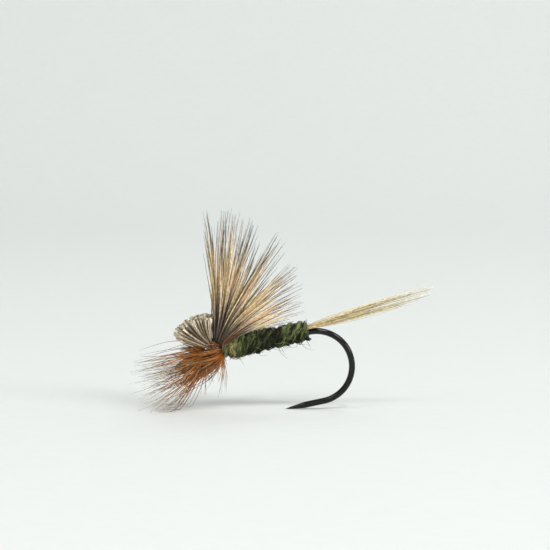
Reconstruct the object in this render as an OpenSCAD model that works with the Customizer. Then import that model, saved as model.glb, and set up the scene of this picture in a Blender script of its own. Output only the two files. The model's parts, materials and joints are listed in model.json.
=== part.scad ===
// Dry fly on a size 12 hook: olive dubbed body, upright deer hair wing with clipped butts,
// ginger hackle wound at the wing, and a tail of pale hackle fibres.
// Millimetres. The origin is the centre of the hook eye's hole, +X runs back towards the tail and +Z is up.
// Every sub-part is built in the hook's own frame, with the shank along X, and then tilted nose down.

/* [Stance] */
// Nose-down tilt of the shank as the fly stands on its hackle and its hook point, in degrees
pitch = 12; // [10:1:14]

/* [Hook] */
// Diameter of the hook wire
wire_d = 0.5; // [0.46:0.01:0.52]
// Distance along the shank from the eye's centre to the start of the bend
shank_end = 10.3; // [10.1:0.1:10.8]
// Radius of the bend, at the middle of the wire
bend_r = 2.8; // [2.7:0.01:2.85]
// Length of the straight spear from the bend to the start of the point's taper
spear_l = 1.6; // [1.4:0.1:1.8]
// Length of the tapered point
point_l = 1.5; // [1.4:0.1:1.6]
// Diameter of the wire that forms the eye
eye_wire_d = 0.38; // [0.34:0.01:0.4]
// Diameter of the eye's hole
eye_hole_d = 0.86; // [0.8:0.02:0.9]
// Angle of the turned-down eye below the shank, in degrees
eye_down = 25; // [20:1:30]

/* [Body] */
// Height of the dubbed body's middle above the shank's axis, because the tail is tied in on top
body_lift = 0.1; // [0.08:0.01:0.12]
// Radius of the dubbed body just behind the hackle
body_front_r = 0.96; // [0.9:0.01:1.0]
// Radius of the dubbed body at the tail
body_rear_r = 0.74; // [0.7:0.01:0.78]
// Advance of the dubbed rope for each turn
rope_pitch = 0.8; // [0.78:0.02:0.86]
// Number of loose guard hairs that stand out of the dubbing
guard_hairs = 26; // [16:1:28]

/* [Wing] */
// Length of the longest wing hairs from the lashing to the tip
wing_l = 10.7; // [9.5:0.1:11]
// Elevation of the most upright wing hairs above the shank line, in degrees
wing_high = 85; // [80:1:87]
// Elevation of the lowest wing hairs above the shank line, in degrees
wing_low = 29; // [28:1:34]
// Sideways flare of the outermost wing hairs, in degrees
wing_flare = 28; // [22:1:30]
// Length of the shortest clipped butts
butt_short = 2; // [1.9:0.1:2.2]
// Length of the longest clipped butts
butt_long = 3.3; // [3:0.1:3.4]

/* [Hackle] */
// Length of a hackle barb
barb_l = 6.8; // [6.4:0.1:7.2]
// Number of barbs that sweep forwards and down
front_barbs = 48; // [40:1:52]
// Number of barbs that sweep back over each side of the body
rear_barbs = 6; // [5:1:7]

/* [Tail] */
// Number of tail fibres
tail_count = 14; // [10:1:15]
// Length of the tail behind the body
tail_l = 9.9; // [9:0.1:10.5]
// Elevation of the highest tail fibres above the shank line, in degrees
tail_high = 6.5; // [5:0.5:8]
// Elevation of the lowest tail fibres, in degrees
tail_low = -1; // [-1.5:0.5:1]

/* [Hidden] */

$fn = 48;
gap = 0.01;                                   // air between pieces that lie against each other
wire_r = wire_d / 2;
eye_wire_r = eye_wire_d / 2;
eye_hole_r = eye_hole_d / 2;
eye_ring_r = eye_hole_r + eye_wire_r - 0.02;  // the ring's inside is worn flat by 0.02
elbow_r = 0.6;                                // radius of the elbow between the eye's neck and the shank

// The neck leaves the ring below the shank line, and the elbow brings it level
neck_start = eye_hole_r + 0.1;
neck_end = eye_ring_r + 0.12;
shank_x = neck_end * cos(eye_down) + elbow_r * sin(eye_down);
shank_z = neck_end * sin(eye_down) + elbow_r * (1 - cos(eye_down));
spear_z = shank_z - 2 * bend_r;
tip_x = shank_end - spear_l - point_l;
tip_r = 0.012;
stand_z = tip_x * sin(pitch) + (spear_z - tip_r) * cos(pitch);  // the surface that the point touches

thread_d = 0.09;                              // width of one flat-wound turn of tying thread
underbody_r = wire_r + 0.05;
head_x = shank_x + 0.04;
head_r = underbody_r + 0.12;
head_end = 1.25;
stem_r = 0.08;                                // the hackle's quill
wind_r = underbody_r + stem_r + gap;          // radius of the quill's windings
front_x = 1.46;                               // where the quill's windings in front of the wing end
front_end = 1.98;                             // and where they start
front_turns = 3;
lash_x = 2.46;                                // front face of the wing lashing
lash_end = 2.94;
rear_x = 3.27;                                // front of the quill's turn behind the wing
rear_end = 3.39;
thorax_x = 3.52;
thorax_end = 4.6;
abdomen_end = shank_end - 0.08;
tail_x = 8.9;                                 // front of the tail's lashing
tail_fibre_r = 0.023;
tail_lash_r = underbody_r + 2 * tail_fibre_r + 2 * gap;
tail_lash_outer = tail_lash_r + 0.05;

hook_colour = [0.07, 0.07, 0.075];
thread_colour = [0.17, 0.11, 0.08];
hair_colour = [0.72, 0.6, 0.42];
butt_colour = [0.62, 0.57, 0.48];
hackle_colour = [0.65, 0.33, 0.12];

function unit(v) = v / norm(v);
function mix(a, b, t) = a + (b - a) * t;
function clamp01(t) = max(0, min(1, t));
// A repeatable offset from -1 to 1 for piece i, different for each k
function wobble(i, k) = sin(i * 137.508 + k * 73.1) * cos(i * 61.7 + k * 191.3);
// A direction at an elevation above the shank line and an angle to the side (+ is the far side)
function heading(elevation, side) = [cos(elevation) * cos(side), sin(side), sin(elevation) * cos(side)];
// Straight out from the shank, at an angle round it from the top (+ is the far side)
function outward(around) = [0, sin(around), cos(around)];
function round_shank(x, r, around, lift = 0) = [x, 0, shank_z + lift] + r * outward(around);
// Height above the stand of a point given in the hook's frame
function height(p) = p.x * sin(pitch) + p.z * cos(pitch) - stand_z;

// ---- swept solids ----

function tangent(path, i) = unit(path[min(i + 1, len(path) - 1)] - path[max(i - 1, 0)]);
function square_to(n, t) = unit(n - (n * t) * t);
function ring(c, n, b, rn, rb, sides) =
    [for (k = [0 : sides - 1]) c + rn * cos(360 * k / sides) * n + rb * sin(360 * k / sides) * b];

// One ring of points round each path point; a radius pair is [towards the guide, across it]
function rings(path, guides, radii, sides) = [
    for (i = [0 : len(path) - 1])
        let (t = tangent(path, i), n = square_to(guides[i], t))
            each ring(path[i], n, cross(t, n), radii[i][0], radii[i][1], sides)
];
function side_faces(rows, sides, first, inside) = [
    for (i = [0 : rows - 2], k = [0 : sides - 1])
        let (
            a = first + i * sides + k,
            b = first + i * sides + (k + 1) % sides,
            c = b + sides,
            d = a + sides
        )
            each inside ? [[a, b, c], [a, c, d]] : [[a, c, b], [a, d, c]]
];
function cap(first, sides, far) =
    [for (k = [1 : sides - 2]) far ? [first, first + k + 1, first + k] : [first, first + k, first + k + 1]];
function ring_cap(a, b, sides, far) = [
    for (k = [0 : sides - 1])
        let (j = (k + 1) % sides)
            each far ? [[a + k, b + k, b + j], [a + k, b + j, a + j]] : [[a + k, b + j, b + k], [a + k, a + j, b + j]]
];

// A solid strand along a path
module strand(path, guides, radii, sides) {
    rows = len(path);
    polyhedron(
        points = rings(path, guides, radii, sides),
        faces = concat(
            side_faces(rows, sides, 0, false),
            cap(0, sides, false),
            cap((rows - 1) * sides, sides, true)
        )
    );
}

// A strand with a round channel along its middle
module hollow_strand(path, guides, radii, bore, sides) {
    rows = len(path);
    inner = rows * sides;
    last = (rows - 1) * sides;
    polyhedron(
        points = concat(
            rings(path, guides, radii, sides),
            rings(path, guides, [for (r = radii) [bore, bore]], sides)
        ),
        faces = concat(
            side_faces(rows, sides, 0, false),
            side_faces(rows, sides, inner, true),
            ring_cap(0, inner, sides, false),
            ring_cap(last, inner + last, sides, true)
        )
    );
}

// A hair of length l that leaves p along "start", ends in the direction "aim" and tapers from r0 to
// r1. Its root is a straight stretch of length "lead" along the shank.
fibre_rows = 6;
fibre_sides = 5;
module fibre(p, start, aim, l, r0, r1, lead = 0) {
    bend = p + start * l * 0.3;
    end = p + aim * l;
    steps = [for (i = [0 : fibre_rows - 1]) i / (fibre_rows - 1)];
    root = lead > 0 ? [p - [lead, 0, 0]] : [];
    path = concat(root, [for (t = steps) (1 - t) * (1 - t) * p + 2 * t * (1 - t) * bend + t * t * end]);
    guide = abs(aim.y) > 0.8 ? [1, 0, 0] : [0, 1, 0];
    radii = concat([for (q = root) r0 * [1, 1]], [for (t = steps) mix(r0, r1, pow(t, 1.3)) * [1, 1]]);
    strand(path, [for (q = path) guide], radii, fibre_sides);
}

// Touching turns of thread round the shank: a sleeve with a scalloped outside
module turns(x0, x1, inner, outer) {
    n = max(2, round((x1 - x0) / thread_d));
    w = (x1 - x0) / n;
    translate([x0, 0, shank_z])
        rotate([0, 90, 0])
            rotate_extrude()
                difference() {
                    union() {
                        square([outer - w / 2, x1 - x0]);
                        for (i = [0 : n - 1])
                            translate([outer - w / 2, (i + 0.5) * w]) circle(d = w * 0.98, $fn = 24);
                    }
                    translate([0, -1]) square([inner, x1 - x0 + 2]);
                }
}

// Draws children at x, with their own X to the far side, their Y up and their Z along the shank
module across_shank(x) {
    translate([x, 0, shank_z]) rotate([90, 0, 90]) children();
}

// ---- hook ----

module eye_ring() {
    rotate([0, -eye_down, 0])
        difference() {
            rotate_extrude() translate([eye_ring_r, 0]) circle(r = eye_wire_r);
            translate([0, 0, -1]) cylinder(r = eye_hole_r, h = 2);
        }
}

module eye_neck() {
    rotate([0, 90 - eye_down, 0])
        translate([0, 0, neck_start])
            cylinder(r1 = eye_wire_r * 0.86, r2 = wire_r, h = neck_end - neck_start);
}

// An arc of wire in the XZ plane, centred on [x, z], from one angle to a larger one
module wire_arc(x, z, r, from, to) {
    translate([x, 0, z])
        rotate([90, 0, 0])
            rotate([0, 0, from])
                rotate_extrude(angle = to - from) translate([r, 0]) circle(r = wire_r);
}

// The sliver that is raised from the top of the wire behind the point
module barb() {
    translate([tip_x + point_l * 0.96, 0, spear_z + wire_r * 0.5])
        rotate([0, 72, 0])
            cylinder(r1 = 0.11, r2 = tip_r, h = 0.42);
}

// The hook is one wire, divided where its bend starts
module hook_shank() {
    color(hook_colour) {
        eye_ring();
        eye_neck();
        wire_arc(shank_x, shank_z - elbow_r, elbow_r, 90, 90 + eye_down);
        translate([shank_x, 0, shank_z]) rotate([0, 90, 0]) cylinder(r = wire_r, h = shank_end - shank_x);
    }
}

module hook_bend() {
    color(hook_colour) {
        wire_arc(shank_end, shank_z - bend_r, bend_r, -90, 90);
        translate([shank_end, 0, spear_z]) rotate([0, -90, 0]) {
            cylinder(r = wire_r, h = spear_l);
            translate([0, 0, spear_l]) cylinder(r1 = wire_r, r2 = tip_r, h = point_l);
        }
        barb();
    }
}

// ---- thread ----

module thread_underbody() {
    color(thread_colour)
        translate([head_x, 0, shank_z]) rotate([0, 90, 0])
            difference() {
                cylinder(r = underbody_r, h = abdomen_end - head_x);
                translate([0, 0, -1]) cylinder(r = wire_r, h = shank_end + 2);
            }
}

module tail_lashing() {
    color(thread_colour) turns(tail_x, tail_x + 0.9, tail_lash_r, tail_lash_outer);
}

module hackle_lashing() {
    color(thread_colour) turns(head_end + gap, front_x - stem_r - gap, underbody_r, underbody_r + 0.12);
}

module head_wraps() {
    color(thread_colour) turns(head_x, head_end, underbody_r, head_r);
}

whip_x = head_x + 0.02;
whip_end = whip_x + 0.22;
whip_r = head_r + 0.08;
module whip_finish() {
    color(thread_colour) turns(whip_x, whip_end, head_r + gap / 2, whip_r);
}

// Clear varnish over the thread head
module head_cement() {
    skin = 0.025;
    low = head_r + gap;
    high = whip_r + gap;
    color([0.85, 0.75, 0.55, 0.5])
        translate([0, 0, shank_z]) rotate([0, 90, 0])
            rotate_extrude()
                polygon([
                    [high, whip_x - gap], [high, whip_end + gap], [low, whip_end + gap], [low, head_end],
                    [low + skin, head_end], [low + skin, whip_end + skin + gap], [high + skin, whip_end + skin],
                    [high + skin, whip_x - gap]
                ]);
}

// ---- tail ----

module tail_fibre(i) {
    around = mix(-60, 60, i / (tail_count - 1));
    p = round_shank(abdomen_end - 0.3, underbody_r + tail_fibre_r + gap, around);
    elevation = mix(tail_high, tail_low, abs(around) / 60) + 0.3 * wobble(i, 1);
    aim = heading(elevation, around * 0.085 + 0.3 * wobble(i, 2));
    l = tail_l * (1 + 0.07 * wobble(i, 3)) + 0.35;
    fibre(p, [1, 0, 0], aim, l, tail_fibre_r, 0.012, p.x - tail_x + 0.2);
}

module tail_fibres() {
    color([0.88, 0.76, 0.5]) for (i = [0 : tail_count - 1]) tail_fibre(i);
}

// ---- dubbing ----

rope_steps = 14;
rope_sides = 10;
thread_core_r = 0.04;

// Outer radius of the body at x: a straight taper, rounded off at the hackle and at the tail
function body_r(x) =
    mix(body_front_r, body_rear_r, clamp01((x - thorax_x) / (abdomen_end - thorax_x)))
    - 0.4 * pow(clamp01((thorax_x + 0.5 - x) / 0.5), 1.5)
    - 0.12 * pow(clamp01((x - abdomen_end + 0.8) / 0.8), 2);

// A section of the body is the rope of dubbing wound from x0 to x1 over a core of radius "inner",
// with the middle of its turns "lift" above the shank's axis
thorax = [thorax_x, thorax_end, 0.44, underbody_r + gap, 0, 200];
abdomen = [thorax_end + gap, abdomen_end, rope_pitch, tail_lash_outer + body_lift + gap, body_lift, 120];
function rope_t(x, inner) = (body_r(x) - inner) / 2;
function rope_path(x0, x1, advance, inner, lift, first) =
    let (n = round((x1 - x0 - 0.94 * advance) / advance * rope_steps))
        [for (i = [0 : n])
            let (x = mix(x0 + 0.47 * advance, x1 - 0.47 * advance, i / n))
                round_shank(x, inner + rope_t(x, inner), first + 360 * i / rope_steps, lift)];
function section_path(s) = rope_path(s[0], s[1], s[2], s[3], s[4], s[5]);
function section_guides(s) = [for (p = section_path(s)) [0, p.y, p.z - shank_z - s[4]]];

module dubbing_rope(section) {
    path = section_path(section);
    radii = [for (p = path) [rope_t(p.x, section[3]), 0.47 * section[2]]];
    hollow_strand(path, section_guides(section), radii, thread_core_r + gap, rope_sides);
}
module rope_thread(section) {
    path = section_path(section);
    strand(path, section_guides(section), [for (p = path) thread_core_r * [1, 1]], 6);
}

module abdomen_dubbing() { color([0.24, 0.3, 0.13]) dubbing_rope(abdomen); }
module abdomen_thread() { color(thread_colour) rope_thread(abdomen); }
module thorax_dubbing() { color([0.36, 0.37, 0.16]) dubbing_rope(thorax); }
module thorax_thread() { color(thread_colour) rope_thread(thorax); }

module guard_hair(i) {
    x = mix(thorax_end, abdomen_end - 0.5, (i + 0.5) / guard_hairs);
    around = 97 * i + 40 * wobble(i, 5);
    p = round_shank(x, body_r(x) + 0.03, around, body_lift);
    aim = unit(outward(around) + [0.9 + 0.6 * wobble(i, 6), 0, 0]);
    fibre(p, outward(around), aim, 1.1 + 0.5 * wobble(i, 7), 0.016, 0.008);
}
module dubbing_guard_hairs() {
    color([0.3, 0.36, 0.2]) for (i = [0 : guard_hairs - 1]) guard_hair(i);
}

// ---- wing ----

hair_r = 0.042;
butt_end_r = 0.08;
hair_kick = 54;                               // least elevation at which the thread kicks a hair up
lash_t = 0.09;
// The hair lies over the shank in arched layers: how many hairs in each, and how far round they reach
layer_hairs = [10, 12, 12, 9];
layer_reach = [70, 66, 50, 32];
top_layer = len(layer_hairs) - 1;
function layer_r(k) = underbody_r + hair_r + gap + 0.14 * k;
bundle_z = 0.28;                              // middle of the lashed hair above the shank's axis
bundle_r = layer_r(top_layer) - bundle_z + 0.11;

// The outline of the hair and the shank bound together, grown by r
module bound(r) {
    hull() {
        translate([0, bundle_z]) circle(r = bundle_r + r);
        circle(r = underbody_r + gap + r);
    }
}

module wing_lashing() {
    n = 5;
    w = (lash_end - lash_x) / n;
    color(thread_colour)
        across_shank(lash_x)
            difference() {
                union() {
                    linear_extrude(lash_end - lash_x) bound(lash_t * 0.7);
                    for (i = [0 : n - 1]) translate([0, 0, (i + 0.15) * w]) linear_extrude(w * 0.7) bound(lash_t);
                }
                translate([0, 0, -1]) linear_extrude(lash_end) bound(0);
            }
}

// Hair j of layer k, as an angle round the shank from the top, and as -1 to 1 across the layer
function hair_across(k, j) = 2 * (j + 0.5) / layer_hairs[k] - 1;
function hair_around(k, j) = layer_reach[k] * hair_across(k, j);
// A lower layer turns upwards a little farther from the lashing than the one above it
function turn_up(k, step) = step * (1 - pow(k / top_layer, 2));

// Where a hair leaves the lashing at the front and at the back
function butt_x(k) = lash_x - hair_r - 2 * gap - turn_up(k, 0.19);
function tip_start_x(k) = lash_end + hair_r + gap + turn_up(k, 0.15);

// The tip half of a hair, with its stretch inside the lashing
module wing_hair(k, j) {
    i = 20 * k + j;
    lift = clamp01((k + 0.42 * wobble(i, 1)) / top_layer);
    elevation = mix(wing_low, wing_high, lift);
    side = wing_flare * sin(hair_around(k, j)) / sin(layer_reach[0]) + 1.6 * wobble(i, 2);
    l = wing_l * mix(0.76, 1, pow(lift, 0.6)) * (0.95 + 0.06 * wobble(i, 3));
    p = round_shank(tip_start_x(k), layer_r(k), hair_around(k, j));
    lead = p.x - butt_x(k) - hair_r - gap;
    fibre(p, heading(max(hair_kick, elevation), side * 0.8), heading(elevation, side), l, hair_r, 0.014, lead);
}

// The clipped butt half of a hair, a little thicker where deer hair is cut
module wing_butt(k, j) {
    i = 20 * k + j;
    lift = clamp01((k + 0.34 * wobble(i, 4)) / top_layer);
    aim = heading(mix(138, 84, lift), 30 * sin(hair_around(k, j)));
    translate(round_shank(butt_x(k), layer_r(k), hair_around(k, j)))
        rotate([0, acos(aim.z), atan2(aim.y, aim.x)])
            cylinder(r1 = hair_r * 0.9, r2 = butt_end_r, h = mix(butt_long, butt_short, lift), $fn = 20);
}

// which is -1 for the near side, 0 for the centre and 1 for the far side
function in_group(k, j, which) =
    let (y = layer_r(k) * sin(hair_around(k, j)))
        which == 0 ? abs(y) <= 0.16 : y * which > 0.16;
module wing_hairs(which) {
    color(hair_colour)
        for (k = [0 : top_layer], j = [0 : layer_hairs[k] - 1])
            if (in_group(k, j, which)) wing_hair(k, j);
}
module wing_butts(which) {
    color(butt_colour)
        for (k = [0 : top_layer], j = [0 : layer_hairs[k] - 1])
            if (in_group(k, j, which)) wing_butt(k, j);
}

module wing_hair_near() { wing_hairs(-1); }
module wing_hair_centre() { wing_hairs(0); }
module wing_hair_far() { wing_hairs(1); }
module wing_butts_near() { wing_butts(-1); }
module wing_butts_centre() { wing_butts(0); }
module wing_butts_far() { wing_butts(1); }

// ---- hackle ----

stem_steps = 18;
under_lash_r = underbody_r + lash_t + stem_r + 3 * gap;
barb_r = 0.036;

// The quill: a turn behind the wing, a crossing under the lashing, then the front turns
module hackle_stem() {
    cross_from = 150;
    cross_to = 214;
    rear = [for (i = [0 : 20]) round_shank(mix(rear_end, rear_x, i / 20), wind_r, cross_from - 360 + 18 * i)];
    crossing = [
        for (i = [0 : 6])
            round_shank(mix(rear_x - 0.04, front_end, i / 6), under_lash_r, mix(cross_from + 10, cross_to, i / 6))
    ];
    n = front_turns * stem_steps;
    front = [
        for (i = [1 : n])
            round_shank(mix(front_end, front_x, i / n), wind_r, cross_to + 360 * i / stem_steps)
    ];
    path = concat(rear, crossing, front);
    guides = [for (p = path) [0, p.y, p.z - shank_z]];
    radii = [for (i = [0 : len(path) - 1]) mix(stem_r, stem_r * 0.85, i / len(path)) * [1, 1]];
    color([0.5, 0.28, 0.13]) strand(path, guides, radii, 6);
}

// A barb that would pass below the stand ends on it
function barb_length(p, aim, l) =
    let (down = -(aim.x * sin(pitch) + aim.z * cos(pitch)))
        down > 0.05 ? min(l, height(p) / down - 0.012) : l;

// Barbs root just outside the quill, which stands farther out where it crosses under the lashing
function barb_root_r(around) = (abs(around - 184) < 44 ? under_lash_r : wind_r) + stem_r + 0.03;
module hackle_barb(x, around, lean, i) {
    out = outward(around);
    p = round_shank(x, barb_root_r(around), around);
    aim = unit(cos(lean) * out + [-sin(lean), 0, 0]);
    l = barb_l * (0.94 + 0.06 * wobble(i, 9));
    fibre(p, unit(1.8 * out + aim), aim, barb_length(p, aim, l), barb_r, tip_r);
}

// Forward barbs leave both windings on the sides and underneath; every third one is from the rear turn
front_gap = 72;
function front_around(i) = mix(front_gap, 360 - front_gap, (i + 0.5) / front_barbs);
module front_barb(i) {
    around = front_around(i);
    lean = mix(34, 54, abs(sin(around))) + 7 * wobble(i, 8);
    from_rear = i % 3 == 1 && cos(around) < 0.1;
    x = from_rear ? rear_x - 0.02 : mix(front_x, front_end, ((i * 5) % 8) / 7);
    hackle_barb(x, around, from_rear ? lean * 0.8 : lean, i);
}
module front_barbs_between(a0, a1) {
    color(hackle_colour)
        for (i = [0 : front_barbs - 1])
            if (front_around(i) >= a0 && front_around(i) < a1) front_barb(i);
}

module hackle_barbs_lower() { front_barbs_between(128, 232); }
module hackle_barbs_near() { front_barbs_between(232, 360); }
module hackle_barbs_far() { front_barbs_between(0, 128); }
module hackle_barbs_rear() {
    color(hackle_colour)
        for (side = [-1, 1], i = [0 : rear_barbs - 1])
            hackle_barb(rear_end + 0.03, side * mix(64, 108, i / (rear_barbs - 1)), -64 - 4 * wobble(i + side, 11), i);
}

// ---- assembly ----

module pitched() { rotate([0, -pitch, 0]) children(); }

pitched() hook_shank();
pitched() hook_bend();
pitched() thread_underbody();
pitched() tail_lashing();
pitched() tail_fibres();
pitched() abdomen_dubbing();
pitched() abdomen_thread();
pitched() thorax_dubbing();
pitched() thorax_thread();
pitched() dubbing_guard_hairs();
pitched() wing_lashing();
pitched() wing_hair_near();
pitched() wing_hair_centre();
pitched() wing_hair_far();
pitched() wing_butts_near();
pitched() wing_butts_centre();
pitched() wing_butts_far();
pitched() hackle_stem();
pitched() hackle_barbs_lower();
pitched() hackle_barbs_near();
pitched() hackle_barbs_far();
pitched() hackle_barbs_rear();
pitched() hackle_lashing();
pitched() head_wraps();
pitched() whip_finish();
pitched() head_cement();
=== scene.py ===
"""The looks of the dry fly: every fibre, thread turn and dubbing hair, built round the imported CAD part.

Shapes are worked out in millimetres in the hook's own frame, where the shank lies along X, the tail is
towards +X and the near side is -Y. to_world() then tilts them nose down and turns them into metres.
"""
import json
import math

import bpy
import numpy as np
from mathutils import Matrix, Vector, noise


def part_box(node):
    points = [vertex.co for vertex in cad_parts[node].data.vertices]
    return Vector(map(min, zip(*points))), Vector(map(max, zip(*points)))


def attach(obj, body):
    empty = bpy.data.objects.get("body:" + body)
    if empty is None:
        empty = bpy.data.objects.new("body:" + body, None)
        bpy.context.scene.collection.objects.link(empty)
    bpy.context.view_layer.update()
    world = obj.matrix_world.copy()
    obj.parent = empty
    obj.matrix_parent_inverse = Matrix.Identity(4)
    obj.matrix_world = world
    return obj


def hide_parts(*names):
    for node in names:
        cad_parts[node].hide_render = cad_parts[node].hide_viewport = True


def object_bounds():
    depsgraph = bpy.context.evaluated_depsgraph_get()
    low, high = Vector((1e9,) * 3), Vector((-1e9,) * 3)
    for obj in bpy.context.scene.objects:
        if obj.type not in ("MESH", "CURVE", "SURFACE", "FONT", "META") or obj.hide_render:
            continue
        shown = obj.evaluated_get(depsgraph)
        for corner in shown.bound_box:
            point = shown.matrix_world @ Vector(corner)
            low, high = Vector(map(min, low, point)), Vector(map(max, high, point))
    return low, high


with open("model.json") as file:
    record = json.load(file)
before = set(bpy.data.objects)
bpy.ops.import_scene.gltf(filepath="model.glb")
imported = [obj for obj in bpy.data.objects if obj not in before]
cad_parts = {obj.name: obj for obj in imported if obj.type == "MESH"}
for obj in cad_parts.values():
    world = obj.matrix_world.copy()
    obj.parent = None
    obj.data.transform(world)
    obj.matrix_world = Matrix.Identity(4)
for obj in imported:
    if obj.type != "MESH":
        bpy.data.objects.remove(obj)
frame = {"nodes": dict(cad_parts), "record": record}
cad_low, cad_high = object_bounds()

MM = 0.001
PI = math.pi
mounts = {m["name"]: m for m in frame["record"]["mounts"]}
grip_axis = mounts["bend_grip"]["axis"]
SIN, COS = -grip_axis[0], grip_axis[2]  # of the shank's nose-down pitch


# ---- frames ----

def to_world(points):
    """From the hook's own frame in mm to the row frame in metres."""
    x, y, z = points[..., 0], points[..., 1], points[..., 2]
    return np.stack([x * COS - z * SIN, y, x * SIN + z * COS], -1) * MM


def to_hook(points):
    """From the row frame in metres to the hook's own frame in mm."""
    x, y, z = points[..., 0], points[..., 1], points[..., 2]
    return np.stack([x * COS + z * SIN, y, z * COS - x * SIN], -1) / MM


def span(node):
    """Lowest and highest corner of a CAD node in the hook's own frame, in mm."""
    mesh = frame["nodes"][node].data
    co = np.empty(len(mesh.vertices) * 3, np.float32)
    mesh.vertices.foreach_get("co", co)
    points = to_hook(co.reshape(-1, 3))
    return points.min(0), points.max(0)


def unit(v):
    return v / np.maximum(np.linalg.norm(v, axis=-1, keepdims=True), 1e-12)


def mix(a, b, t):
    return a + (b - a) * t


def vectors(x, y, z):
    """One array of vectors from three coordinates, each a number or an array."""
    return np.stack(np.broadcast_arrays(x, y, z), -1).astype(float)


def heading(elevation, side):
    """Directions at an elevation above the shank line and an angle to the far side, in degrees."""
    e, s = np.radians(elevation), np.radians(side)
    return vectors(np.cos(e) * np.cos(s), np.sin(s), np.sin(e) * np.cos(s))


def outward(around):
    """Directions straight out from the shank, at an angle round it from the top, in degrees."""
    a = np.radians(around)
    return vectors(0.0, np.sin(a), np.cos(a))


# ---- dimensions of the hook and of what is tied on it, in mm ----

bend_low, bend_high = span("hook_bend")
shank_low, shank_high = span("thread_underbody")
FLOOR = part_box("hook_bend")[0].z / MM
THREAD_W, THREAD_T = 0.1, 0.05  # the thread's width and thickness, lying flat
SHANK_Z = (shank_low[2] + shank_high[2]) / 2
UNDERBODY_R = (shank_high[2] - shank_low[2]) / 2
WIRE_R = UNDERBODY_R - THREAD_T
EYE_WIRE_R = 0.19
EYE_RING_R = 0.6
EYE_DOWN = math.radians(25)
ELBOW_R = 0.6
NECK_L = 0.5  # from the ring's middle line to the elbow
BEND_R = (bend_high[2] - bend_low[2]) / 2 - WIRE_R
SPEAR_Z = bend_low[2] + WIRE_R
SHANK_END = bend_high[0] - BEND_R - WIRE_R
POINT_L = 1.5
SPEAR_L = 1.6
TIP_X = SHANK_END - SPEAR_L - POINT_L
ACROSS = np.array([0.0, 1.0, 0.0])
BUNDLE_LIFT = 0.28  # the wing's lashed roots sit on top of the shank


def round_shank(x, r, around, lift=0.0):
    """Points at a distance r from the shank's axis, raised by lift."""
    return vectors(x, 0.0, SHANK_Z + lift) + np.asarray(r)[..., None] * outward(around)


# ---- meshes ----

def new_mesh(name, points, faces, colours, flat_faces=()):
    mesh = bpy.data.meshes.new(name)
    mesh.from_pydata(to_world(points).tolist(), [], faces)
    smooth = np.ones(len(faces), bool)
    smooth[list(flat_faces)] = False
    mesh.polygons.foreach_set("use_smooth", smooth)
    strand = mesh.color_attributes.new("strand", "FLOAT_COLOR", "POINT")
    strand.data.foreach_set("color", colours.astype(np.float32).ravel())
    mesh.update()
    return mesh


def tubes(paths, radii, rng, sides=6, guides=None, flatten=1.0, above_floor=True, tints=None):
    """Closed tubes round paths of shape (strands, rows, 3). radii is (strands, rows), along the guide,
    and the width across it is flatten times that. Each point's colour holds how far along its strand it
    is, a random number of the strand, and its tint, which is random too unless tints says it."""
    count, rows = paths.shape[:2]
    if above_floor:
        paths = lay_on_floor(paths, radii)
    tangent = unit(np.gradient(paths, axis=1))
    if guides is None:
        run = np.abs(paths[:, -1] - paths[:, 0])
        guides = np.eye(3)[np.argmin(run, axis=1)][:, None, :]
    n = unit(guides - (guides * tangent).sum(-1, keepdims=True) * tangent)
    b = np.cross(tangent, n)
    angle = np.arange(sides) * 2 * PI / sides
    ring = np.cos(angle)[:, None] * n[:, :, None] + flatten * np.sin(angle)[:, None] * b[:, :, None]
    points = (paths[:, :, None] + radii[:, :, None, None] * ring).reshape(-1, 3)

    first = np.arange(count * rows).reshape(count, rows)[:, :-1, None] * sides
    k = np.arange(sides)
    a, nxt = first + k, first + (k + 1) % sides
    quads = np.stack([a, nxt, nxt + sides, a + sides], -1).reshape(-1, 4).tolist()
    starts = (np.arange(count) * rows * sides)[:, None]
    ends = starts + (rows - 1) * sides
    caps = (starts + k[::-1]).tolist() + (ends + k).tolist()

    along = np.broadcast_to(np.linspace(0, 1, rows)[None, :, None], (count, rows, sides))
    tint = rng.random((2, count))
    if tints is not None:
        tint[1] = tints
    tint = tint[:, :, None, None]
    colours = np.stack(np.broadcast_arrays(along, tint[0], tint[1], 1.0), -1).reshape(-1, 4)
    return points, quads + caps, colours, range(len(quads), len(quads) + len(caps))


def lay_on_floor(paths, radii):
    """Where a strand would pass below the surface that the fly stands on, it lies along it instead."""
    world = to_world(paths) / MM
    lowest = FLOOR + radii + 0.01
    world[..., 2] = np.maximum(world[..., 2], lowest)
    return to_hook(world * MM)


def join(parts):
    """Several tubes() results as one."""
    points, faces, colours, flat = [], [], [], []
    count = 0
    for p, f, c, caps in parts:
        flat += [len(faces) + i for i in caps]
        faces += [[i + count for i in face] for face in f]
        points.append(p)
        colours.append(c)
        count += len(p)
    return np.concatenate(points), faces, np.concatenate(colours), flat


def piece(name, made, material, slot, *nodes):
    """A visible piece, which stands for those CAD nodes if there are any."""
    o = bpy.data.objects.new(name, new_mesh(name, *made))
    bpy.context.scene.collection.objects.link(o)
    o.data.materials.append(material)
    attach(o, "root")
    if nodes:
        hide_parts(*nodes)


def fibres(roots, starts, aims, lengths, rng, rows=9, reach=0.3, wander=0.012):
    """Curves that leave each root along its start and end in the direction of its aim. reach says how
    far start steers them and wander how far they sway, as shares of their length."""
    t = np.linspace(0, 1, rows)[None, :, None]
    size = lengths[:, None]
    bend, end = roots + starts * size * reach, roots + aims * size
    paths = (1 - t) ** 2 * roots[:, None] + 2 * t * (1 - t) * bend[:, None] + t ** 2 * end[:, None]
    sway = rng.normal(size=(2, len(roots), 1, 3)) * wander * lengths[:, None, None]
    return paths + sway[0] * np.sin(PI * t) + 0.5 * sway[1] * np.sin(2 * PI * t)


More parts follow.
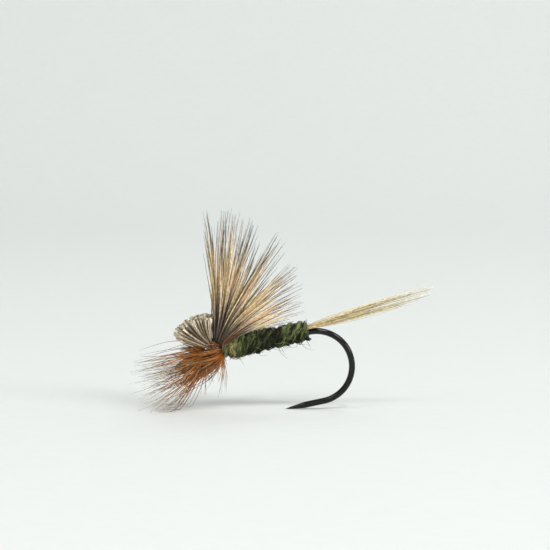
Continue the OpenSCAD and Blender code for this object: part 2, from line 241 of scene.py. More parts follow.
def profile(stops, rows):
    """A radius for each row, through (share of the length, radius) stops."""
    return np.interp(np.linspace(0, 1, rows), *zip(*stops))


# ---- materials ----

def add(tree, kind, inputs=(), **settings):
    """A node with its settings, and its inputs set to numbers or linked to other nodes' outputs."""
    n = tree.nodes.new(kind)
    for key, value in settings.items():
        setattr(n, key, value)
    for key, value in dict(inputs).items():
        if isinstance(value, bpy.types.NodeSocket):
            tree.links.new(value, n.inputs[key])
        else:
            n.inputs[key].default_value = value
    return n


def ramp(tree, factor, stops):
    """A colour ramp through (place, (r, g, b)) stops."""
    n = add(tree, "ShaderNodeValToRGB", {"Fac": factor})
    elements = n.color_ramp.elements
    while len(elements) < len(stops):
        elements.new(1.0)
    for element, (place, colour) in zip(elements, stops):
        element.position = place
        element.color = (*colour, 1.0)
    return n.outputs["Color"]


def maths(tree, operation, a, b):
    return add(tree, "ShaderNodeMath", {0: a, 1: b}, operation=operation).outputs[0]


def multiply(tree, a, b):
    """One colour times another."""
    inputs = {"Factor": 1.0, 6: a, 7: b}
    return add(tree, "ShaderNodeMix", inputs, data_type="RGBA", blend_type="MULTIPLY").outputs[2]


def grain(tree, scale, detail=3.0):
    """Noise over the object, with scale in waves per mm."""
    where = add(tree, "ShaderNodeTexCoord").outputs["Object"]
    n = add(tree, "ShaderNodeTexNoise", {"Vector": where, "Scale": scale / MM, "Detail": detail})
    return n.outputs["Fac"]


def map_to(tree, value, low, high, start=0.3, end=0.7):
    n = add(tree, "ShaderNodeMapRange", {"Value": value, 1: start, 2: end, 3: low, 4: high})
    return n.outputs[0]


def surface(name, **uniform):
    """A new material, its tree and its Principled shader with the numbers that are the same all over."""
    material = bpy.data.materials.new(name)
    material.use_nodes = True
    tree = material.node_tree
    shader = tree.nodes["Principled BSDF"]
    for key, value in uniform.items():
        shader.inputs[key.replace("_", " ").title().replace("Ior", "IOR")].default_value = value
    return material, tree, shader


def finish_surface(tree, shader, colour, roughness, height, depth):
    """Links the colour, the roughness and a bump whose full height is depth mm."""
    bump = add(tree, "ShaderNodeBump", {"Height": height, "Distance": depth * MM, "Strength": 0.6})
    tree.links.new(colour, shader.inputs["Base Color"])
    tree.links.new(roughness, shader.inputs["Roughness"])
    tree.links.new(bump.outputs[0], shader.inputs["Normal"])


STOP_SHIFT = 0.22  # share of a fibre's length
MOTTLE = 0.35  # how much lighter or darker the mottling makes a fibre


def fibre_material(name, along, families, rough=(0.35, 0.6), **uniform):
    """A fibre's colour runs through the stops of along, and families tints it from one fibre to the
    next, by multiplying."""
    material, tree, shader = surface(name, **uniform)
    strand = add(tree, "ShaderNodeAttribute", attribute_name="strand").outputs["Color"]
    parts = add(tree, "ShaderNodeSeparateColor", {"Color": strand}).outputs
    # Each fibre's stops sit a little nearer to its root or to its tip
    shift = maths(tree, "MULTIPLY_ADD", parts[1], STOP_SHIFT)
    shift.node.inputs[2].default_value = -STOP_SHIFT / 2
    colour = ramp(tree, maths(tree, "ADD", parts[0], shift), along)
    colour = multiply(tree, colour, ramp(tree, parts[2], families))
    fine = grain(tree, 4.0)
    shade = map_to(tree, fine, 1.0 - MOTTLE, 1.0 + MOTTLE)
    grey = add(tree, "ShaderNodeCombineColor", {0: shade, 1: shade, 2: shade}).outputs[0]
    colour = multiply(tree, colour, grey)
    finish_surface(tree, shader, colour, map_to(tree, fine, *rough), grain(tree, 22.0), 0.006)
    return material


def hook_material():
    material, tree, shader = surface("black_nickel", metallic=1.0, coat_weight=0.65, coat_roughness=0.03)
    fine = grain(tree, 3.0)
    colour = ramp(tree, fine, [(0.3, (0.003, 0.003, 0.004)), (0.7, (0.006, 0.006, 0.007))])
    finish_surface(tree, shader, colour, map_to(tree, fine, 0.1, 0.2), grain(tree, 9.0), 0.001)
    return material


def thread_material():
    material, tree, shader = surface("waxed_thread", sheen_weight=0.25, sheen_roughness=0.4)
    fine = grain(tree, 9.0)
    browns = [(0.3, (0.035, 0.014, 0.009)), (0.55, (0.085, 0.036, 0.02)), (0.75, (0.16, 0.08, 0.045))]
    colour = ramp(tree, fine, browns)
    finish_surface(tree, shader, colour, map_to(tree, fine, 0.4, 0.65), grain(tree, 30.0), 0.012)
    return material


def dubbing_material(name, dark, middle, light):
    material, tree, shader = surface(name, sheen_weight=0.2, sheen_roughness=0.6)
    coarse, fine = grain(tree, 1.6), grain(tree, 9.0, 6.0)
    tone = maths(tree, "ADD", maths(tree, "MULTIPLY", coarse, 0.6), maths(tree, "MULTIPLY", fine, 0.4))
    colour = ramp(tree, tone, [(0.36, dark), (0.52, middle), (0.68, light)])
    finish_surface(tree, shader, colour, map_to(tree, fine, 0.75, 0.95), fine, 0.06)
    return material


def cement_material():
    material, tree, shader = surface("head_varnish", transmission_weight=0.85, coat_weight=0.3)
    fine = grain(tree, 2.0)
    colour = ramp(tree, fine, [(0.3, (0.75, 0.55, 0.32)), (0.7, (0.9, 0.74, 0.5))])
    finish_surface(tree, shader, colour, map_to(tree, fine, 0.05, 0.14), grain(tree, 1.5), 0.01)
    return material


hook_metal = hook_material()
thread = thread_material()
varnish = cement_material()
olive_core = dubbing_material(
    "olive_dubbing", (0.003, 0.005, 0.0015), (0.018, 0.028, 0.008), (0.07, 0.1, 0.03))
yellow_core = dubbing_material(
    "yellow_olive_dubbing", (0.012, 0.014, 0.004), (0.07, 0.075, 0.02), (0.18, 0.18, 0.06))
WHITE = (1.0, 1.0, 1.0)
olive_fur = fibre_material(
    "olive_fur",
    [(0.0, (0.115, 0.142, 0.048)), (1.0, (0.18, 0.214, 0.088))],
    [(0.0, (0.03, 0.03, 0.03)), (0.22, (0.12, 0.12, 0.12)), (0.45, (0.55, 0.55, 0.55)),
     (0.7, (1.3, 1.3, 1.2)), (1.0, (2.3, 2.2, 2.0))],
    rough=(0.6, 0.8), specular_ior_level=0.25)
yellow_fur = fibre_material(
    "yellow_olive_fur",
    [(0.0, (0.35, 0.33, 0.115)), (1.0, (0.46, 0.44, 0.2))],
    [(0.0, (0.08, 0.08, 0.08)), (0.35, (0.45, 0.45, 0.45)), (0.7, WHITE), (1.0, (1.7, 1.6, 1.4))],
    rough=(0.6, 0.8), specular_ior_level=0.25)
# Dark roots, a cream bar and grey-brown tips; some hairs are dark, and a few have a blue or pink tint
deer_hair = fibre_material(
    "deer_hair",
    [(0.0, (0.045, 0.029, 0.018)), (0.12, (0.06, 0.041, 0.027)), (0.3, (0.13, 0.094, 0.062)),
     (0.47, (0.54, 0.415, 0.25)), (0.72, (0.74, 0.56, 0.3)), (0.82, (0.5, 0.375, 0.22)),
     (0.9, (0.15, 0.12, 0.092)), (1.0, (0.085, 0.077, 0.073))],
    [(0.0, (0.12, 0.1, 0.1)), (0.17, (0.34, 0.31, 0.31)), (0.34, (0.8, 0.79, 0.78)),
     (0.58, (1.1, 1.1, 1.03)), (0.76, (1.4, 1.42, 1.35)), (0.86, (1.8, 2.05, 2.8)),
     (0.91, (1.6, 1.4, 2.1)), (0.94, (1.2, 0.8, 0.5)), (1.0, (2.0, 2.4, 3.4))])
deer_butt = fibre_material(
    "deer_hair_butts",
    [(0.0, (0.08, 0.05, 0.033)), (0.35, (0.33, 0.25, 0.165)), (0.8, (0.46, 0.37, 0.26)),
     (0.93, (0.58, 0.5, 0.37)), (1.0, (0.63, 0.56, 0.42))],
    [(0.0, (0.14, 0.12, 0.1)), (0.25, (0.5, 0.48, 0.45)), (0.5, (0.95, 0.95, 0.93)),
     (0.88, (1.2, 1.2, 1.2)), (1.0, (1.6, 1.65, 1.75))])
ginger = fibre_material(
    "ginger_hackle",
    [(0.0, (0.36, 0.085, 0.006)), (0.35, (0.46, 0.15, 0.014)), (0.65, (0.37, 0.165, 0.04)),
     (1.0, (0.25, 0.165, 0.1))],
    [(0.0, (0.16, 0.15, 0.17)), (0.15, (0.42, 0.36, 0.33)), (0.4, (0.9, 0.85, 0.8)),
     (0.75, (1.15, 1.1, 1.0)), (1.0, (1.5, 1.6, 1.6))],
    rough=(0.28, 0.5))
quill = fibre_material(
    "ginger_quill",
    [(0.0, (0.25, 0.09, 0.03)), (1.0, (0.36, 0.15, 0.05))],
    [(0.0, WHITE), (1.0, WHITE)],
    rough=(0.3, 0.5))
tail_gold = fibre_material(
    "pale_gold_hackle",
    [(0.0, (0.42, 0.28, 0.12)), (0.2, (0.68, 0.51, 0.26)), (0.6, (0.82, 0.7, 0.43)),
     (1.0, (0.78, 0.7, 0.52))],
    [(0.0, (0.45, 0.42, 0.4)), (0.2, (0.85, 0.85, 0.8)), (0.6, WHITE), (1.0, (1.35, 1.45, 1.6))],
    rough=(0.28, 0.5))


# ---- hook ----

def arc(cx, cz, r, start, end, count):
    """Points of an arc in the XZ plane, with angles from +X towards +Z in degrees."""
    a = np.radians(np.linspace(start, end, count))
    return vectors(cx + r * np.cos(a), 0.0, cz + r * np.sin(a))


def resample(points, count):
    """Points spaced evenly along a polyline."""
    steps = np.linalg.norm(np.diff(points, axis=0), axis=1)
    at = np.concatenate([[0], np.cumsum(steps)])
    return np.stack([np.interp(np.linspace(0, at[-1], count), at, points[:, i]) for i in range(3)], -1)


def smoothed(points, passes):
    for _ in range(passes):
        points[1:-1] = (points[:-2] + 2 * points[1:-1] + points[2:]) / 4
    return points


def hook_wire():
    """One wire from its end at the closed eye, round the eye, along the shank and the bend to the point."""
    down = np.array([math.cos(EYE_DOWN), 0.0, math.sin(EYE_DOWN)])
    # The ring's two ends, in degrees from the neck
    cut_end, neck_end = 28, 328
    turn = np.radians(np.linspace(cut_end, neck_end, 90))
    ring = EYE_RING_R * (np.cos(turn)[:, None] * down + np.sin(turn)[:, None] * ACROSS)
    neck = np.linspace(EYE_RING_R + NECK_L - 0.08, EYE_RING_R + NECK_L, 4)[:, None] * down
    elbow_x = (EYE_RING_R + EYE_WIRE_R - 0.07) * math.cos(EYE_DOWN) + ELBOW_R * math.sin(EYE_DOWN)
    elbow = arc(elbow_x, SHANK_Z - ELBOW_R, ELBOW_R, 90 + 0.7 * math.degrees(EYE_DOWN), 90, 8)
    shank = vectors(np.linspace(elbow_x + 0.05, SHANK_END - 0.05, 60), 0.0, SHANK_Z)
    bend = arc(SHANK_END, SHANK_Z - BEND_R, BEND_R, 90, -90, 110)
    spear = vectors(np.linspace(SHANK_END - 0.05, TIP_X, 40), 0.0, SPEAR_Z)
    path = smoothed(resample(np.concatenate([ring, neck, elbow, shank, bend, spear]), 620), 6)

    # The eye's wire is thinner, and the point tapers
    at = np.concatenate([[0], np.cumsum(np.linalg.norm(np.diff(path, axis=0), axis=1))])
    eye_l, swell_l = 2 * PI * EYE_RING_R * 0.85, 1.2
    past_eye = np.clip((at - eye_l) / swell_l, 0, 1)
    to_tip = np.clip((at[-1] - at) / POINT_L, 0, 1)
    r = mix(EYE_WIRE_R - 0.01, WIRE_R, past_eye) * np.maximum(to_tip ** 0.8, 0.05)
    return path[None], r[None]


def build_hook():
    rng = np.random.default_rng(1)
    path, r = hook_wire()
    wire = tubes(path, r, rng, sides=24, guides=ACROSS, above_floor=False)
    root = np.array([TIP_X + POINT_L * 0.9, 0.0, SPEAR_Z + WIRE_R * 0.45])
    barb_l, barb_h, rows = 0.4, 0.12, 9
    rise = vectors(np.linspace(0, barb_l, rows), 0.0, barb_h * np.linspace(0, 1, rows) ** 1.3)
    barb_r = profile([(0, 0.12), (0.6, 0.06), (1, 0.008)], rows)
    barb = tubes((root + rise)[None], barb_r[None], rng, sides=12, guides=ACROSS, above_floor=False)
    piece("hook_wire", join([wire, barb]), hook_metal, "hook_steel", "hook_shank", "hook_bend")


# ---- thread ----

WINDING_ROWS = 28  # in each turn of thread


def winding(x0, x1, r, lift=0.0, pitch=THREAD_W, seed=2):
    """Touching turns of one flat thread from x0 to x1. r is the radius under the thread."""
    rng = np.random.default_rng(seed)
    turns = (x1 - x0) / pitch
    rows = int(turns * WINDING_ROWS) + 1
    t = np.linspace(0, 1, rows)
    around = 360 * turns * t
    lumps = 0.012 * np.sin(np.radians(around) * 0.37 + seed)
    path = round_shank(x0 + (x1 - x0) * t, r + THREAD_T / 2 + lumps, around, lift)
    thick = np.full((1, rows), THREAD_T / 2)
    return tubes(path[None], thick, rng, sides=8, guides=outward(around)[None],
                 flatten=1.12 * pitch / THREAD_T, above_floor=False)


def build_thread():
    for name, node, under in (
        ("underbody_thread", "thread_underbody", 0.045),
        ("tail_lashing_thread", "tail_lashing", THREAD_T),
        ("hackle_lashing_thread", "hackle_lashing", THREAD_T),
        ("head_thread", "head_wraps", THREAD_T),
        ("whip_finish_thread", "whip_finish", THREAD_T),
    ):
        low, high = span(node)
        r = (high[2] - low[2]) / 2 - under
        piece(name, winding(low[0] + 0.04, high[0] - 0.04, r), thread, "thread_silk", node)
    build_wing_lashing()
    for node in ("abdomen_thread", "thorax_thread"):
        cad = frame["nodes"][node]
        cad.data.materials.clear()
        cad.data.materials.append(thread)


def build_wing_lashing():
    """Three layers of turns, each a little off the one below it."""
    low, high = span("wing_lashing")
    r = (high[1] - low[1]) / 2 - THREAD_T
    layers = [
        winding(low[0] + 0.03, high[0] - 0.03, r - 0.02, BUNDLE_LIFT, seed=5),
        winding(low[0] + 0.12, high[0] - 0.1, r + 0.02, BUNDLE_LIFT, pitch=0.13, seed=6),
        winding(low[0] + 0.06, high[0] - 0.04, r, BUNDLE_LIFT + 0.16, pitch=0.11, seed=7),
    ]
    piece("wing_lashing_thread", join(layers), thread, "thread_silk", "wing_lashing")


def build_cement():
    """A coat of varnish over the head, thickest over the whip finish, as a closed skin."""
    low, high = span("head_cement")
    rows, sides, coat = 15, 40, 0.022
    t = np.linspace(0, 1, rows)
    x = mix(low[0], high[0], t)
    outer = (high[2] - low[2]) / 2 - 0.1 * np.clip((t - 0.55) / 0.25, 0, 1) ** 2 - 0.02 * (2 * t - 1) ** 8
    # Each of the skin's sections runs along its outside and back along its inside
    loop_x = np.concatenate([x, x[::-1]])
    loop_r = np.concatenate([outer, outer[::-1] - coat])
    around = (np.arange(sides) * 360 / sides)[:, None]
    points = round_shank(loop_x[None, :], np.tile(loop_r, (sides, 1)), around).reshape(-1, 3)
    n = 2 * rows
    faces = []
    for i in range(sides):
        j = (i + 1) % sides
        for k in range(n):
            m = (k + 1) % n
            faces.append([i * n + k, i * n + m, j * n + m, j * n + k])
    colours = np.tile([0.5, 0.5, 0.5, 1.0], (len(points), 1))
    piece("head_varnish_coat", (points, faces, colours), varnish, "head_varnish", "head_cement")


# ---- dubbing ----

ROWS_PER_TURN = 44
COARSE_LUMPS = 0.13
COARSE_WAVES = 0.95


def rope(x0, x1, advance, inner, lift, first):
    """The wound rope of fur: its path, the guides straight out from the body, and its half thickness."""
    edge, closing = 0.42 * advance, 0.9
    low, high = x0 + edge, x1 - edge
    turns = (high - low) / advance
    at = np.linspace(-closing, turns + closing, int((turns + 2 * closing) * ROWS_PER_TURN))
    # The first and the last turn stay in place, so the body's ends are closed
    x = np.clip(low + advance * at, low, high)
    around = first + 360 * at
    half = (body_r(x) - inner) / 2
    return round_shank(x, inner + half, around, lift), outward(around), half


def body_r(x):
    """Outer radius of the body: a straight taper, rounded off at the hackle and at the tail."""
    thorax_x, tail_x = span("thorax_dubbing")[0][0], span("abdomen_dubbing")[1][0]
    taper = mix(0.8, 0.66, np.clip((x - thorax_x) / (tail_x - thorax_x), 0, 1))
    front = 0.4 * np.clip((thorax_x + 0.5 - x) / 0.5, 0, 1) ** 1.5
    rear = 0.14 * np.clip((x - tail_x + 0.8) / 0.8, 0, 1) ** 2
    return taper - front - rear


def noise3(points, scale, seed):
    """Smooth noise from -1 to 1 at each point, with scale in waves per mm."""
    offset = 37.0 * seed
    return np.array([noise.noise(Vector((p * scale + offset).tolist())) for p in points])


def rope_core(wound, advance, seed, rng):
    """The solid middle of the rope, wide enough to meet the next turn, with lumps and twisted ridges."""
    path, guides, half = wound
    sides = 22
    made = tubes(path[None], half[None], rng, sides=sides, guides=guides[None], above_floor=False)
    middle = path[:, None]
    across = np.cross(unit(np.gradient(path, axis=0)), guides)[:, None]
    spread = made[0].reshape(-1, sides, 3) - middle
    sideways = (spread * across).sum(-1, keepdims=True) * across
    width = (0.47 * advance / half)[:, None, None]
    points = middle + spread + sideways * (width - 1)
    normal = unit(points - middle).reshape(-1, 3)
    flat = points.reshape(-1, 3)
    angle = np.arange(sides) * 2 * PI / sides
    turned = np.arange(len(path))[:, None] * 2 * PI / ROWS_PER_TURN
    ridges = np.sin(5 * angle - 9 * turned).ravel()
    lumps = COARSE_LUMPS * noise3(flat, COARSE_WAVES, seed)
    lumps = lumps + 0.05 * noise3(flat, 4.0, seed + 1) + 0.03 * noise3(flat, 11.0, seed + 2)
    lumps = lumps + 0.02 * ridges - 0.02
    return (flat + normal * lumps[:, None], *made[1:])


def rope_fur(wound, advance, count, seed, rng):
    """Short hairs that lie along the rope, with their ends standing out of it."""
    path, guides, half = wound
    along = unit(np.gradient(path, axis=0))
    across = np.cross(along, guides)
    pick = rng.integers(2, len(path) - 2, count)
    psi = rng.normal(0, 0.62, count)  # where on the rope's round, from its crest, in radians
    out = unit(np.cos(psi)[:, None] * guides[pick] + np.sin(psi)[:, None] * across[pick])
    root = path[pick] + out * half[pick][:, None] * 0.8
    root = root + out * (COARSE_LUMPS * noise3(root, COARSE_WAVES, seed))[:, None]
    way = unit(along[pick] + 0.5 * across[pick]) * rng.choice([-1, 1], count, p=[0.3, 0.7])[:, None]
    jitter = rng.normal(size=(count, 3))
    stand_off = rng.exponential(0.06, count)[:, None]
    start = unit(way + 0.35 * out + 0.1 * jitter)
    aim = unit(way + (stand_off - 0.2) * out + 0.12 * jitter)
    length = rng.uniform(0.35, 0.85, count)
    rows = 6
    hairs = fibres(root, start, aim, length, rng, rows=rows, reach=0.5, wander=0.04)
    r = rng.uniform(0.016, 0.038, count)[:, None] * profile([(0, 0.8), (0.5, 1), (1, 0.25)], rows)

    # Light and dark streaks run along the fur's twist; painted light brightens the crests of the turns, and
    # painted shade darkens the grooves between them and the underside
    run = pick * advance * 6.5 / ROWS_PER_TURN
    streak = noise3(vectors(run * 0.5, (psi * half[pick] - 0.5 * run) * 2.4, 0.0), 1.0, seed + 3)
    # painted light on the crests and painted shade in the grooves, by where each hair roots on the rope's
    # round
    painted_crest_light = np.exp(-(psi / 0.6) ** 2)
    # painted shade on the underside, darker the more a hair's root faces down
    painted_underside_shade = np.interp(guides[pick][:, 2], [-1, -0.3, 1], [0.35, 0.9, 1.0])
    tints = (0.5 + 0.8 * streak + 0.22 * (rng.random(count) - 0.5)) * mix(0.2, 1.15, painted_crest_light) * painted_underside_shade
    return tubes(hairs, r, rng, sides=4, tints=np.clip(tints, 0, 1))


def build_body_section(section, hair_count, core, fur, slot, advance, inner, lift, first, seed):
    """A core that stands for the section's CAD node, and the fur on it."""
    rng = np.random.default_rng(seed)
    node = section + "_dubbing"
    low, high = span(node)
    wound = rope(low[0] - 0.04, high[0] - 0.02, advance, inner, lift, first)
    piece(section + "_rope", rope_core(wound, advance, seed, rng), core, slot, node)
    piece(section + "_fur", rope_fur(wound, advance, hair_count, seed, rng), fur, slot)


def build_guard_hairs():
    """Long loose hairs that stand out of the whole body."""
    rng = np.random.default_rng(31)
    count, rows = 34, 8
    low, high = span("thorax_dubbing")[0][0] + 0.4, span("abdomen_dubbing")[1][0] - 0.1
    x = rng.uniform(low, high, count)
    around = rng.uniform(0, 360, count)
    root = round_shank(x, body_r(x) * 0.9, around, 0.1)
    out = outward(around)
    drift = vectors(rng.uniform(-0.2, 1.6, count), rng.normal(0, 0.3, count), rng.normal(0, 0.3, count))
    length = rng.uniform(0.5, 1.5, count)
    paths = fibres(root, out, unit(out + drift), length, rng, rows=rows, reach=0.4, wander=0.05)
    r = np.full((count, 1), 0.015) * profile([(0, 1), (0.7, 0.8), (1, 0.4)], rows)
    made = tubes(paths, r, rng, sides=4)
    piece("loose_guard_hairs", made, olive_fur, "dubbing_olive", "dubbing_guard_hairs")


def build_body():
    build_body_section(
        "abdomen", 4200, olive_core, olive_fur, "dubbing_olive",
        advance=0.8, inner=UNDERBODY_R + 0.08, lift=0.1, first=120, seed=21)
    build_body_section(
        "thorax", 1100, yellow_core, yellow_fur, "dubbing_yellow_olive",
        advance=0.44, inner=UNDERBODY_R + 0.01, lift=0.03, first=200, seed=25)
    build_guard_hairs()


# ---- wing ----

WING_L = 10.7
HAIRS = 290
LOW_HAIRS = 68  # those of them that lie low over the body
CLUMPS = 44
WING_GROUP_EDGE = 9  # degrees to either side, where the centre group ends


def build_wing():
    """Stacked hair that fans up and back from the lashing, in three groups across the fly."""
    rng = np.random.default_rng(41)
    # 0 is the low end of the fan and 1 its upright end; most of the low hairs lie below the fan
    lift = np.clip(rng.beta(1.65, 1.25, HAIRS), 0, 1)
    lift[:LOW_HAIRS] = rng.uniform(-0.36, 0.2, LOW_HAIRS)
    # The lowest hairs are mostly cream
    tints = rng.random(HAIRS)
    is_cream = rng.random(LOW_HAIRS) < 0.72
    tints[:LOW_HAIRS] = np.where(is_cream, rng.uniform(0.74, 0.98, LOW_HAIRS), tints[:LOW_HAIRS])
    elevation = mix(26, 85, lift)
    side = rng.uniform(-27, 27, HAIRS)

    # Hairs gather in clumps towards their tips
    clump_e = mix(5, 86, rng.random(CLUMPS) ** 0.75)
    clump_s = rng.uniform(-26, 26, CLUMPS)
    near = np.argmin((elevation[:, None] - clump_e) ** 2 + (side[:, None] - clump_s) ** 2, axis=1)
    share = rng.uniform(0.0, 0.95, HAIRS)
    tip_e, tip_s = mix(elevation, clump_e[near], share), mix(side, clump_s[near], share)

    length = WING_L * np.interp(tip_e, [10, 20, 35, 48, 70, 86], [0.72, 0.78, 0.86, 0.95, 1.02, 1.06])
    length = length * (1 - 0.34 * rng.random(HAIRS) ** 1.3)
    height = np.interp(elevation, [20, 85], [-0.1, 0.42]) + rng.normal(0, 0.05, HAIRS)
    # Upright hairs root under the lashing's rear edge, and low ones just behind it
    root_x = span("wing_lashing")[1][0] - 0.22 + 0.37 * (1 - lift)
    root = vectors(root_x, np.sin(np.radians(side)) * 0.9, SHANK_Z + BUNDLE_LIFT + height)
    start = heading(mix(elevation, 60, 0.42), side * 0.8)
    rows = 14
    paths = fibres(root, start, heading(tip_e, tip_s), length, rng, rows=rows, reach=0.38)
    stops = [(0, 0.75), (0.15, 0.9), (0.4, 1), (0.62, 0.8), (0.78, 0.5), (0.9, 0.34), (1, 0.16)]
    r = rng.uniform(0.036, 0.066, HAIRS)[:, None] * profile(stops, rows)
    for name, node, keep in (
        ("wing_near", "wing_hair_near", side < -WING_GROUP_EDGE),
        ("wing_centre", "wing_hair_centre", np.abs(side) <= WING_GROUP_EDGE),
        ("wing_far", "wing_hair_far", side > WING_GROUP_EDGE),
    ):
        made = tubes(paths[keep], r[keep], rng, sides=7, tints=tints[keep])
        piece(name, made, deer_hair, "deer_hair", node)


BUTTS = 230
BUTT_GROUP_EDGE = 10  # degrees to either side, where the centre group ends


def build_butts():
    """The clipped other ends of the same hair, trimmed to one rounded outline."""
    rng = np.random.default_rng(47)
    lift = rng.random(BUTTS) ** 0.9
    elevation = mix(148, 77, lift)
    side = rng.uniform(-32, 32, BUTTS)
    trim = rng.uniform(0.97, 1.02, BUTTS)
    length = mix(3.2, 2.0, lift) * trim + 0.25
    height = mix(-0.05, 0.42, lift)
    # They root under the lashing's front edge
    root_x = span("wing_lashing")[0][0] + 0.12 + 0.08 * lift
    root = vectors(root_x, np.sin(np.radians(side)) * 0.75, SHANK_Z + BUNDLE_LIFT + height)
    aim = heading(elevation, side)
    rows = 8
    start = unit(aim + [-0.35, 0, 0.1])
    paths = fibres(root, start, aim, length, rng, rows=rows, reach=0.4, wander=0.008)
    r = rng.uniform(0.05, 0.08, BUTTS)[:, None] * profile([(0, 0.55), (0.3, 0.8), (1, 1)], rows)
    for name, node, keep in (
        ("butts_near", "wing_butts_near", side < -BUTT_GROUP_EDGE),
        ("butts_centre", "wing_butts_centre", np.abs(side) <= BUTT_GROUP_EDGE),
        ("butts_far", "wing_butts_far", side > BUTT_GROUP_EDGE),
    ):
        piece(name, tubes(paths[keep], r[keep], rng, sides=8), deer_butt, "deer_hair_cut", node)


# ---- hackle ----

STEM_R = 0.08
WIND_R = UNDERBODY_R + STEM_R + 0.01
FRONT_X, FRONT_END = 1.46, 1.98
REAR_X, REAR_END = 3.27, 3.39
MOST_LEAN = 84  # degrees


def build_quill():
    """The quill: a turn behind the wing, a crossing under the lashing, then the front turns."""
    rng = np.random.default_rng(53)
    rear = round_shank(np.linspace(REAR_END, REAR_X, 40), np.full(40, WIND_R), np.linspace(-210, 150, 40))
    cross_x = np.linspace(REAR_X - 0.04, FRONT_END, 14)
    crossing = round_shank(cross_x, np.full(14, UNDERBODY_R + 0.2), np.linspace(160, 214, 14))
    front_turn = 214 + np.linspace(9, 1080, 120)
    front = round_shank(np.linspace(FRONT_END, FRONT_X, 120), np.full(120, WIND_R), front_turn)
    path = smoothed(resample(np.concatenate([rear, crossing, front]), 260), 2)
    guides = unit(path - vectors(path[:, 0], 0.0, SHANK_Z))
    r = np.linspace(STEM_R, STEM_R * 0.8, len(path))
    made = tubes(path[None], r[None], rng, sides=10, guides=guides[None], above_floor=False)
    piece("hackle_quill", made, quill, "ginger_hackle", "hackle_stem")


def barbs(x, around, lean, rng, length):
    """Barbs that leave the quill's turns and lean forwards by so many degrees from straight out."""
    out = outward(around)
    root = round_shank(x, np.full(len(x), WIND_R), around)
    tilt = np.radians(lean)[:, None]
    forwards = np.array([-1.0, 0.0, 0.0])
    aim = unit(np.cos(tilt) * out + np.sin(tilt) * forwards + rng.normal(0, 0.05, (len(x), 3)))
    rows = 12
    paths = fibres(root, unit(1.3 * out + aim), aim, length, rng, rows=rows, reach=0.33, wander=0.022)
    stops = [(0, 1), (0.5, 0.7), (0.85, 0.35), (1, 0.15)]
    r = rng.uniform(0.03, 0.044, len(x))[:, None] * profile(stops, rows)
    return tubes(paths, r, rng, sides=5)


def front_barbs(first, last, crowding, count, rng):
    """Barbs rooted between two angles round the shank, most of them on the turns in front of the wing."""
    around = mix(first, last, rng.random(count) ** crowding)
    topness = (1 + np.cos(np.radians(around))) / 1.6
    from_rear = rng.random(count) < mix(0.42, 0.12, topness)
    rear_x = rng.uniform(REAR_X - 0.06, REAR_X + 0.04, count)
    x = np.where(from_rear, rear_x, rng.uniform(FRONT_X, FRONT_END, count))
    # The lowest barbs carry the fly; the higher a barb roots, the farther forwards it sweeps
    lean = mix(42, 74, (1 + np.cos(np.radians(around))) ** 0.8) + rng.normal(0, 8, count)
    # Short webby barbs make the dense middle, and the long ones stand out of it
    high = np.clip(topness, 0, 1)
    short = rng.random(count) < mix(0.6, 0.9, high)
    lean = np.where(short & (high > 0.3), rng.uniform(12, 74, count), lean)
    lean = np.where(short & (high < 0.3), rng.uniform(-35, 60, count), lean)
    lean = lean + np.where(from_rear, 30, 0)
    short_l = mix(rng.uniform(2.2, 4.0, count), 1.9, high ** 2)
    length = np.where(short, short_l, mix(6.9, 5.6, high) * rng.uniform(0.8, 1.0, count))
    length = length * np.interp(lean, [-10, 15], [0.5, 1.0])
    return barbs(x, around, np.minimum(lean, MOST_LEAN), rng, length)


def build_barbs():
    """The hackle: three groups that sweep forwards and down, and a few barbs that point back."""
    rng = np.random.default_rng(59)
    # Angles are from the top towards the far side; the sides' barbs crowd towards the underside
    for name, node, first, last, crowding, count in (
        ("barbs_lower", "hackle_barbs_lower", 128, 232, 1.0, 160),
        ("barbs_near", "hackle_barbs_near", 232, 338, 1.7, 165),
        ("barbs_far", "hackle_barbs_far", 128, 22, 1.7, 115),
    ):
        made = front_barbs(first, last, crowding, count, rng)
        piece(name, made, ginger, "ginger_hackle", node)
    count = 18
    around = rng.choice([-1, 1], count) * rng.uniform(4, 52, count)
    x = rng.uniform(REAR_X, REAR_END, count)
    made = barbs(x, around, rng.normal(-57, 6, count), rng, rng.uniform(1.8, 4.4, count))
    piece("barbs_rear", made, ginger, "ginger_hackle", "hackle_barbs_rear")


# ---- tail ----

def build_tail():
    """A narrow bunch of fibres, rooted under the dubbing, that bow apart and close again at their tips."""
    rng = np.random.default_rng(61)
    count, rows, hidden = 38, 16, 0.6
    body_end = span("abdomen_dubbing")[1][0]
    visible = span("tail_fibres")[1][0] - body_end
    fan = rng.uniform(-1, 1, count)
    around = 50 * rng.uniform(-1, 1, count)
    root = round_shank(np.full(count, body_end - hidden), np.full(count, UNDERBODY_R + 0.04), around)
    length = (visible + hidden) * (0.99 - 0.3 * rng.random(count) ** 1.8)
    sideways = rng.normal(0, 1.6, count)
    start = heading(5 + 7 * fan + rng.normal(0, 1.5, count), sideways * 2.2)
    # One fibre strays above the others, and the lowest ones are shorter
    aim_up = 3.9 + 3.6 * fan + rng.normal(0, 0.7, count)
    aim_up[0], length[0] = 9.5, length.max()
    length = length * np.interp(fan, [-1, 0], [0.88, 1.0])
    aim = heading(aim_up, sideways)
    paths = fibres(root, start, aim, length, rng, rows=rows, reach=0.36, wander=0.007)
    stops = [(0, 0.8), (0.3, 1), (0.75, 0.8), (1, 0.4)]
    r = rng.uniform(0.026, 0.044, count)[:, None] * profile(stops, rows)
    piece("tail_bunch", tubes(paths, r, rng, sides=6), tail_gold, "tail_hackle", "tail_fibres")


# ---- stage, lights and camera, in metres ----

FLY_MIDDLE = (cad_low + cad_high) / 2


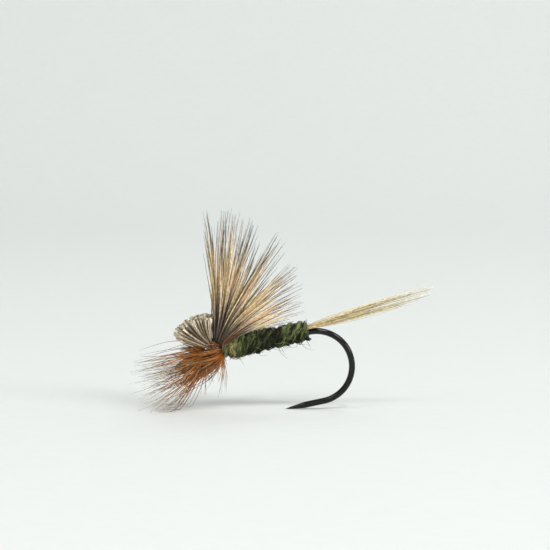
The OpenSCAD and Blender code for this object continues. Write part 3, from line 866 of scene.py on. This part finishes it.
def pale_paper():
    material, tree, shader = surface("pale_paper")
    fine = grain(tree, 0.9, 4.0)
    colour = ramp(tree, fine, [(0.3, (0.74, 0.76, 0.75)), (0.7, (0.76, 0.775, 0.765))])
    finish_surface(tree, shader, colour, map_to(tree, fine, 0.85, 0.95), fine, 0.01)
    return material


def build_stage():
    """A pale round sweep: a flat floor that curves up into a wall all round."""
    flat_r, curve_r, wall_top = 0.35, 0.2, 0.55
    turn = np.linspace(0, PI / 2, 13)
    flat = np.linspace(0.02, flat_r, 6)
    radius = np.concatenate([flat, flat_r + curve_r * np.sin(turn[1:]), [flat_r + curve_r]])
    height = np.concatenate([np.zeros(6), curve_r * (1 - np.cos(turn[1:])), [wall_top]])
    sides = 72
    a = np.arange(sides) * 2 * PI / sides
    # The lights stand on the near side, so the sweep reaches farther there
    middle = FLY_MIDDLE - Vector((0.0, 0.11, 0.0))
    points = [(middle.x, middle.y, FLOOR * MM)]
    for r, h in zip(radius, height):
        points += [(middle.x + r * math.cos(t), middle.y + r * math.sin(t), FLOOR * MM + h) for t in a]
    faces = [[0, 1 + i, 1 + (i + 1) % sides] for i in range(sides)]
    for row in range(len(radius) - 1):
        first = 1 + row * sides
        for i in range(sides):
            j = (i + 1) % sides
            faces.append([first + i, first + sides + i, first + sides + j, first + j])
    mesh = bpy.data.meshes.new("sweep")
    mesh.from_pydata(points, [], faces)
    mesh.polygons.foreach_set("use_smooth", [True] * len(faces))
    mesh.materials.append(pale_paper())
    sweep = bpy.data.objects.new("sweep", mesh)
    bpy.context.scene.collection.objects.link(sweep)


def area_light(name, place, size, power, colour):
    """A square light that points at the fly, with its side in metres and its power in watts."""
    data = bpy.data.lights.new(name, "AREA")
    data.shape = "SQUARE"
    data.size, data.energy, data.color = size, power, colour
    o = bpy.data.objects.new(name, data)
    o.location = place
    o.rotation_euler = (FLY_MIDDLE - Vector(place)).to_track_quat("-Z", "Y").to_euler()
    bpy.context.scene.collection.objects.link(o)


def build_lights():
    """A broad light on the left, three smaller ones on the right that glint on the hook, and one behind."""
    area_light("key", (-0.2, -0.3, 0.42), 0.2, 0.52, (1.0, 0.985, 0.96))
    area_light("top_right", (0.1, -0.3, 0.46), 0.12, 0.85, (1.0, 0.99, 0.97))
    area_light("right", (0.3, -0.28, 0.36), 0.12, 0.72, (0.98, 0.99, 1.0))
    area_light("low_right", (0.42, -0.28, 0.18), 0.12, 0.45, (0.98, 0.99, 1.0))
    area_light("back", (0.12, 0.3, 0.34), 0.2, 0.3, (0.97, 0.99, 1.0))
    world = bpy.data.worlds.new("studio")
    world.use_nodes = True
    background = world.node_tree.nodes["Background"]
    background.inputs["Color"].default_value = (0.95, 0.97, 0.96, 1.0)
    background.inputs["Strength"].default_value = 0.44
    bpy.context.scene.world = world


def build_camera():
    """A long lens from the near side, 4.5 degrees above level."""
    image_side, pixels_per_mm = 550, 12.7
    distance, sensor = 0.2, 36.0
    target = Vector((7.3, 0.0, 6.99)) * MM
    elevation = math.radians(4.5)
    back = Vector((0.0, -math.cos(elevation), math.sin(elevation)))
    data = bpy.data.cameras.new("camera")
    data.sensor_width = sensor
    data.lens = sensor * distance / (image_side / pixels_per_mm * MM)
    data.clip_start, data.clip_end = 0.005, 10.0
    camera = bpy.data.objects.new("camera", data)
    camera.location = target + back * distance
    camera.rotation_euler = (-back).to_track_quat("-Z", "Y").to_euler()
    bpy.context.scene.collection.objects.link(camera)
    bpy.context.scene.camera = camera


bpy.context.scene.view_settings.view_transform = "Standard"
build_hook()
build_thread()
build_cement()
build_body()
build_wing()
build_butts()
build_quill()
build_barbs()
build_tail()
build_stage()
build_lights()
build_camera()

bpy.context.view_layer.update()
